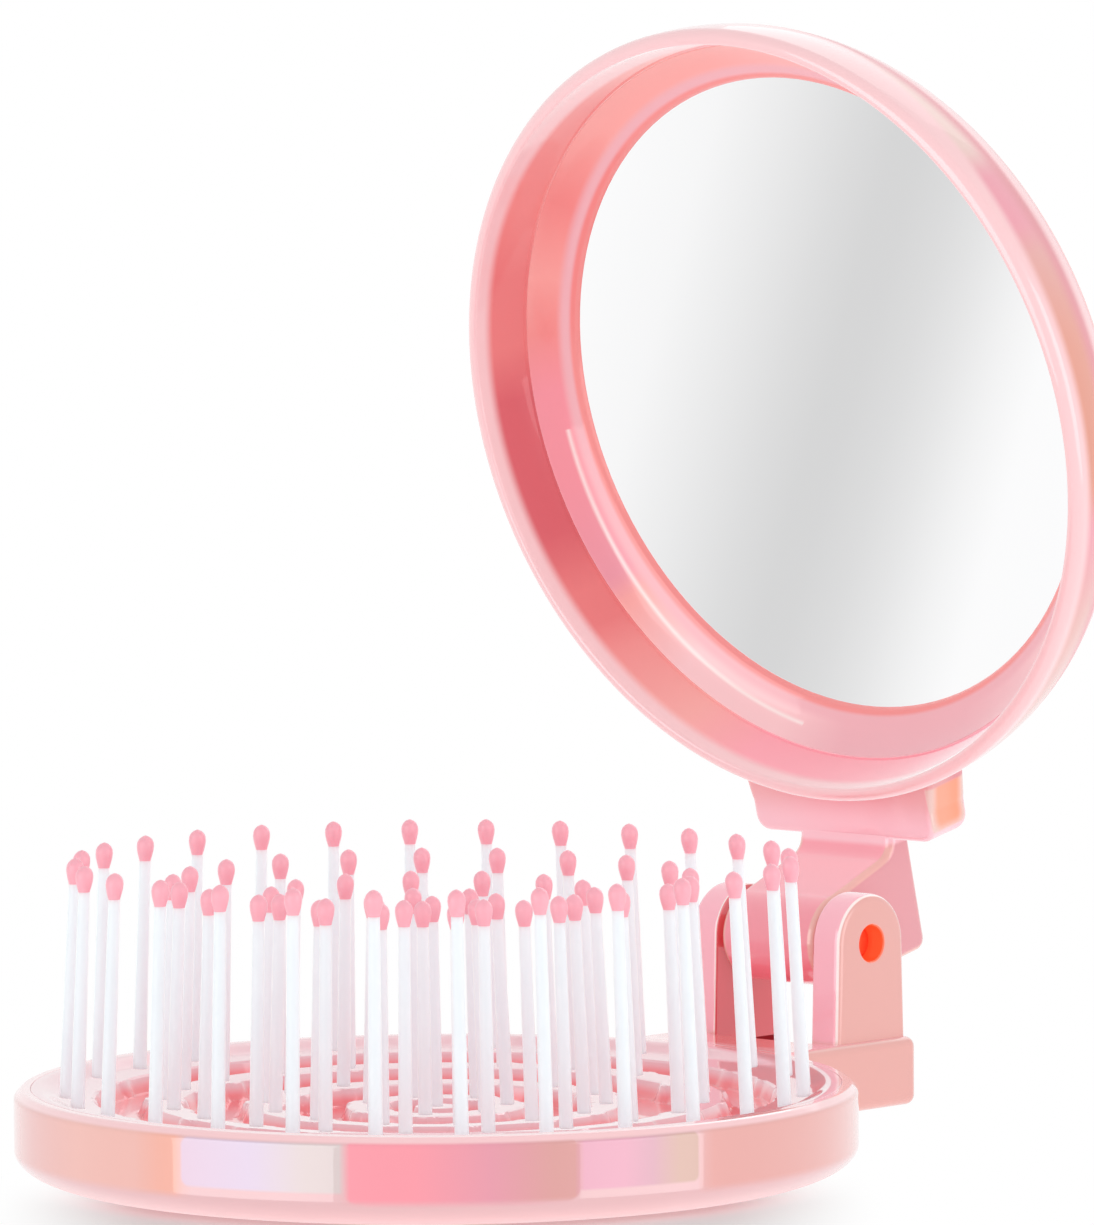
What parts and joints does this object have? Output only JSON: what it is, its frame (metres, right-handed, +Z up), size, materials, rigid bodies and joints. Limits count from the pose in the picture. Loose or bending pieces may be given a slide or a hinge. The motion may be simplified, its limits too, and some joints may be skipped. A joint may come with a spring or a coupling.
{
  "type": "folding hairbrush with mirror",
  "caption": "Round pocket hairbrush that folds: a shallow disc with rings of ball-tipped bristles, and a cup-shaped mirror lid on a hinge behind it.",
  "frame": {"origin": "centre of the flat that the brush half rests on", "axes": "+Z up from the resting surface, along the bristles; +Y from the brush disc towards the hinge; X along the hinge axis"},
  "size_m": [0.065, 0.0863, 0.0881],
  "materials": {
    "shell": "pearl pink, high gloss, with an iridescent film",
    "face_plate": "pearl pink, high gloss",
    "bristle": "milky white nylon",
    "bead": "satin pink resin",
    "hinge_pin": "coral",
    "mirror": "silvered glass",
    "retainer": "as moulded",
    "tape": "adhesive foam"
  },
  "bodies": {
    "brush": {"brush_shell": "shell", "face_plate": "face_plate", "bristle_retainer": "retainer", "pins_centre": "bristle", "pins_inner": "bristle", "pins_middle": "bristle", "pins_outer": "bristle", "pins_rim": "bristle", "beads_centre": "bead", "beads_inner": "bead", "beads_middle": "bead", "beads_outer": "bead", "beads_rim": "bead", "hinge_pin": "hinge_pin"},
    "lid": {"lid_shell": "shell", "mirror_ring": "shell", "mirror": "mirror", "mirror_tape": "tape"}
  },
  "joints": [
    {"name": "lid_hinge", "type": "hinge", "parent": "brush", "child": "lid", "pos_m": [0, 0.042, 0.0148], "axis": [-1, 0, 0], "range_deg": [-76.6, 103.4]}
  ]
}
